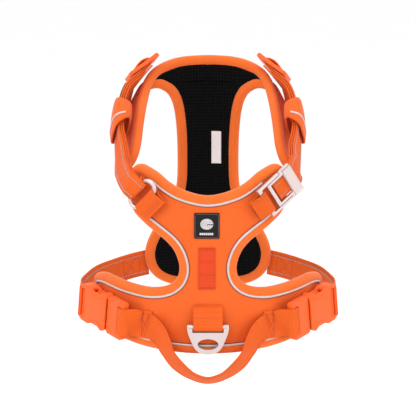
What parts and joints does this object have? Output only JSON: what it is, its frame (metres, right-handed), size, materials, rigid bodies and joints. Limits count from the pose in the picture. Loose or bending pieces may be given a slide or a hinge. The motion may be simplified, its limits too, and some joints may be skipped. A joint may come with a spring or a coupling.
{
  "type": "no pull dog harness",
  "caption": "Padded no pull dog harness with a back saddle, chest panel, side release girth buckles, metal neck buckle, leash ring and handle.",
  "frame": {"origin": "centre of the girth loop on the axis of the wearer's torso", "axes": "+Z towards the neck opening, -Y to the back (saddle) side, +X to the right when the saddle faces the viewer and the neck is up"},
  "size_m": [0.2318, 0.207, 0.2678],
  "materials": {
    "orange_fabric": "woven polyester, matt",
    "orange_binding": "stretch binding, matt",
    "orange_webbing": "nylon webbing",
    "light_strip_fabric": "woven elastic",
    "padding": "foam",
    "black_mesh": "spacer mesh, matt",
    "reflective_tape": "reflective piping",
    "black_label": "woven label",
    "white_label": "printed label, blank",
    "orange_plastic": "moulded acetal, satin",
    "anodised_metal": "satin anodised"
  },
  "bodies": {
    "harness": {"care_label": "white_label", "chest_foam": "padding", "chest_lining": "black_mesh", "chest_neck_binding": "orange_binding", "chest_pad_binding": "orange_binding", "chest_shell": "orange_fabric", "front_leash_loop": "orange_webbing", "front_patch": "black_label", "hem_piping": "reflective_tape", "leash_tab": "orange_webbing", "left_arm_binding": "orange_binding", "left_armhole_piping": "reflective_tape", "left_buckle_plug": "orange_plastic", "left_girth_strap": "orange_webbing", "left_keeper": "orange_fabric", "left_keeper_tape": "reflective_tape", "left_neck_anchor_strap": "orange_webbing", "left_neck_strap": "orange_webbing", "left_neck_tab": "orange_webbing", "left_strap_fold": "orange_webbing", "left_wing_webbing": "orange_webbing", "light_loop_strip": "light_strip_fabric", "neck_buckle_receiver": "anodised_metal", "neck_piping": "reflective_tape", "right_arm_binding": "orange_binding", "right_armhole_piping": "reflective_tape", "right_buckle_plug": "orange_plastic", "right_girth_strap": "orange_webbing", "right_keeper": "orange_fabric", "right_keeper_tape": "reflective_tape", "right_neck_anchor_strap": "orange_webbing", "right_neck_strap": "orange_webbing", "right_neck_tab": "orange_webbing", "right_wing_webbing": "orange_webbing", "saddle_border": "orange_binding", "saddle_foam": "padding", "saddle_lining": "black_mesh", "saddle_shell": "orange_fabric", "side_label": "black_label"},
    "leash_ring": {"leash_ring": "anodised_metal"},
    "handle": {"handle_strap": "orange_webbing"},
    "left_socket": {"left_buckle_socket": "orange_plastic"},
    "right_socket": {"right_buckle_socket": "orange_plastic"},
    "left_upper_prong": {"left_buckle_upper_prong": "orange_plastic"},
    "left_lower_prong": {"left_buckle_lower_prong": "orange_plastic"},
    "right_upper_prong": {"right_buckle_upper_prong": "orange_plastic"},
    "right_lower_prong": {"right_buckle_lower_prong": "orange_plastic"},
    "neck_ring": {"neck_ring": "anodised_metal"},
    "neck_latch": {"neck_buckle_latch": "anodised_metal"},
    "left_adjuster": {"left_neck_adjuster": "orange_plastic"},
    "right_adjuster": {"right_neck_adjuster": "orange_plastic"}
  },
  "joints": [
    {"name": "leash_ring_swing", "type": "hinge", "parent": "harness", "child": "leash_ring", "pos_m": [0, -0.0934, -0.0083], "axis": [-1, 0, 0], "range_deg": [0, 105]},
    {"name": "handle_swing", "type": "hinge", "parent": "harness", "child": "handle", "pos_m": [0, -0.088, -0.017], "axis": [-1, 0, 0], "range_deg": [0, 70]},
    {"name": "left_buckle_release", "type": "slide", "parent": "harness", "child": "left_socket", "axis": [-0.6569, 0.7411, 0.139], "range_m": [0, 0.024], "deforming": ["left_girth_strap", "left_buckle_upper_prong", "left_buckle_lower_prong"]},
    {"name": "left_upper_prong_squeeze", "type": "hinge", "parent": "harness", "child": "left_upper_prong", "pos_m": [-0.08614, -0.06399, 0.00507], "axis": [-0.7483, -0.6633, 0], "range_deg": [0, 10], "stiffness_Nm_per_rad": 0.6},
    {"name": "left_lower_prong_squeeze", "type": "hinge", "parent": "harness", "child": "left_lower_prong", "pos_m": [-0.08798, -0.06191, -0.01474], "axis": [0.7483, 0.6633, 0], "range_deg": [0, 10], "stiffness_Nm_per_rad": 0.6},
    {"name": "right_buckle_release", "type": "slide", "parent": "harness", "child": "right_socket", "axis": [0.6569, 0.7411, 0.139], "range_m": [0, 0.024], "deforming": ["right_girth_strap", "right_buckle_upper_prong", "right_buckle_lower_prong"]},
    {"name": "right_upper_prong_squeeze", "type": "hinge", "parent": "harness", "child": "right_upper_prong", "pos_m": [0.08614, -0.06399, 0.00507], "axis": [-0.7483, 0.6633, 0], "range_deg": [0, 10], "stiffness_Nm_per_rad": 0.6},
    {"name": "right_lower_prong_squeeze", "type": "hinge", "parent": "harness", "child": "right_lower_prong", "pos_m": [0.08798, -0.06191, -0.01474], "axis": [0.7483, -0.6633, 0], "range_deg": [0, 10], "stiffness_Nm_per_rad": 0.6},
    {"name": "neck_ring_swing", "type": "hinge", "parent": "harness", "child": "neck_ring", "pos_m": [-0.05135, -0.08429, 0.09947], "axis": [0.632, -0.343, 0.695], "range_deg": [-4, 20], "deforming": ["left_neck_strap", "left_strap_fold"]},
    {"name": "neck_buckle_release", "type": "slide", "parent": "harness", "child": "neck_latch", "axis": [0.6996, 0.426, 0.5737], "range_m": [0, 0.02], "deforming": ["right_neck_strap"]},
    {"name": "left_adjuster_slide", "type": "slide", "parent": "harness", "child": "left_adjuster", "axis": [-0.7421, -0.4212, -0.5215], "range_m": [-0.004, 0.01], "deforming": ["left_neck_strap", "left_neck_anchor_strap"]},
    {"name": "right_adjuster_slide", "type": "slide", "parent": "harness", "child": "right_adjuster", "axis": [0.7421, -0.4212, -0.5215], "range_m": [-0.004, 0.01], "deforming": ["right_neck_strap", "right_neck_anchor_strap"]}
  ]
}
